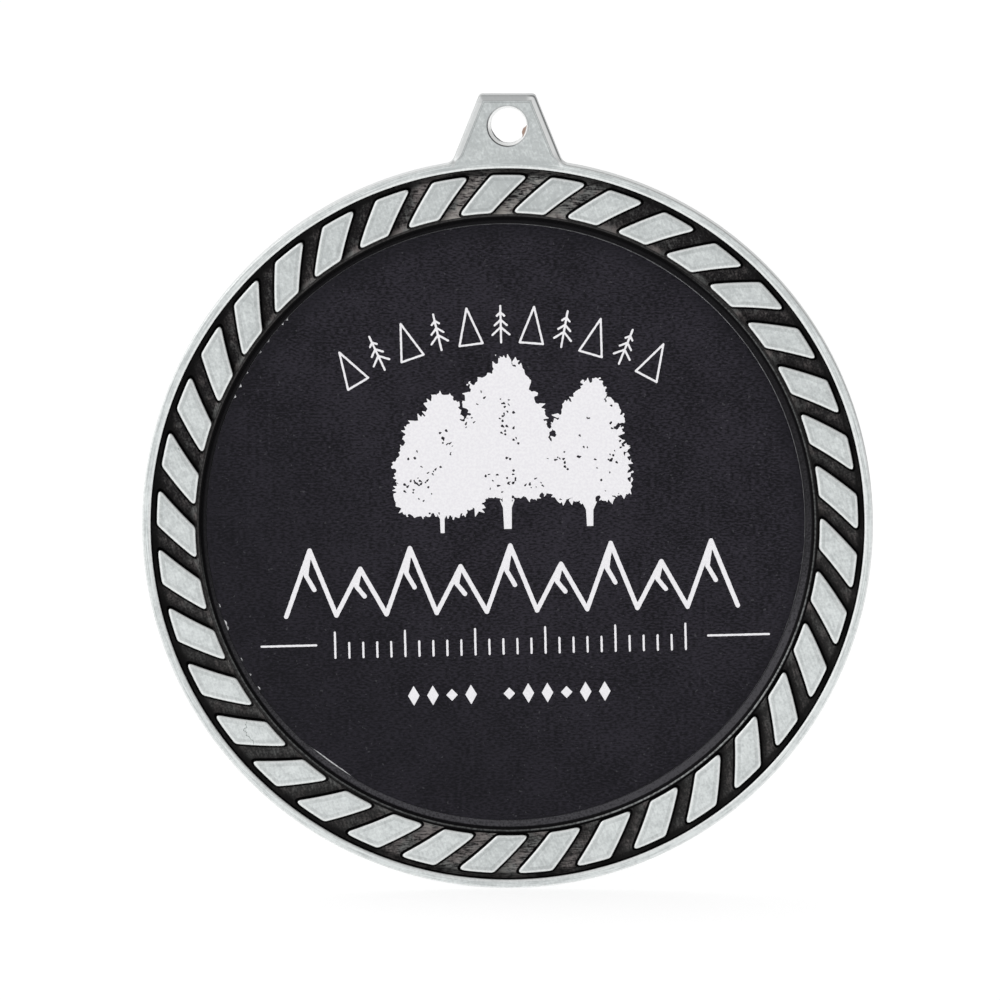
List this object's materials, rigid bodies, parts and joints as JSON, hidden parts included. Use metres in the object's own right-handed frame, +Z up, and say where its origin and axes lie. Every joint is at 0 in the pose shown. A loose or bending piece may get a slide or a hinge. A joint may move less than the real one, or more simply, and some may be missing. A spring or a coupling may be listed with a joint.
{
  "type": "sports finisher medal",
  "caption": "Round cast medal with a slanted rope border, a recessed printed centre and a hanger tab with a ribbon hole.",
  "frame": {"origin": "middle of the ribbon hole, half way through the tab", "axes": "+Z up from the disc towards the top of the tab, -Y out of the face, +X to the right as the face is seen"},
  "size_m": [0.06, 0.003, 0.0654],
  "materials": {
    "antique_silver": "satin silver plate over zinc, brushed, with black left in the low places",
    "black_enamel": "black antiquing enamel, rubbed thin in places",
    "adhesive": "double-sided adhesive",
    "white_stock": "white label stock, bare at its cut edge",
    "black_print": "near-black print with a fine embossed grain",
    "white_ink": "matt white print"
  },
  "bodies": {
    "root": {"cast_body": "antique_silver", "border_enamel": "black_enamel", "cove_enamel": "black_enamel", "centre_adhesive": "adhesive", "centre_disc": "white_stock", "black_print": "black_print", "print_arch": "white_ink", "print_trees": "white_ink", "print_hills": "white_ink", "print_rules": "white_ink", "print_scale": "white_ink", "print_dots": "white_ink"}
  },
  "joints": []
}
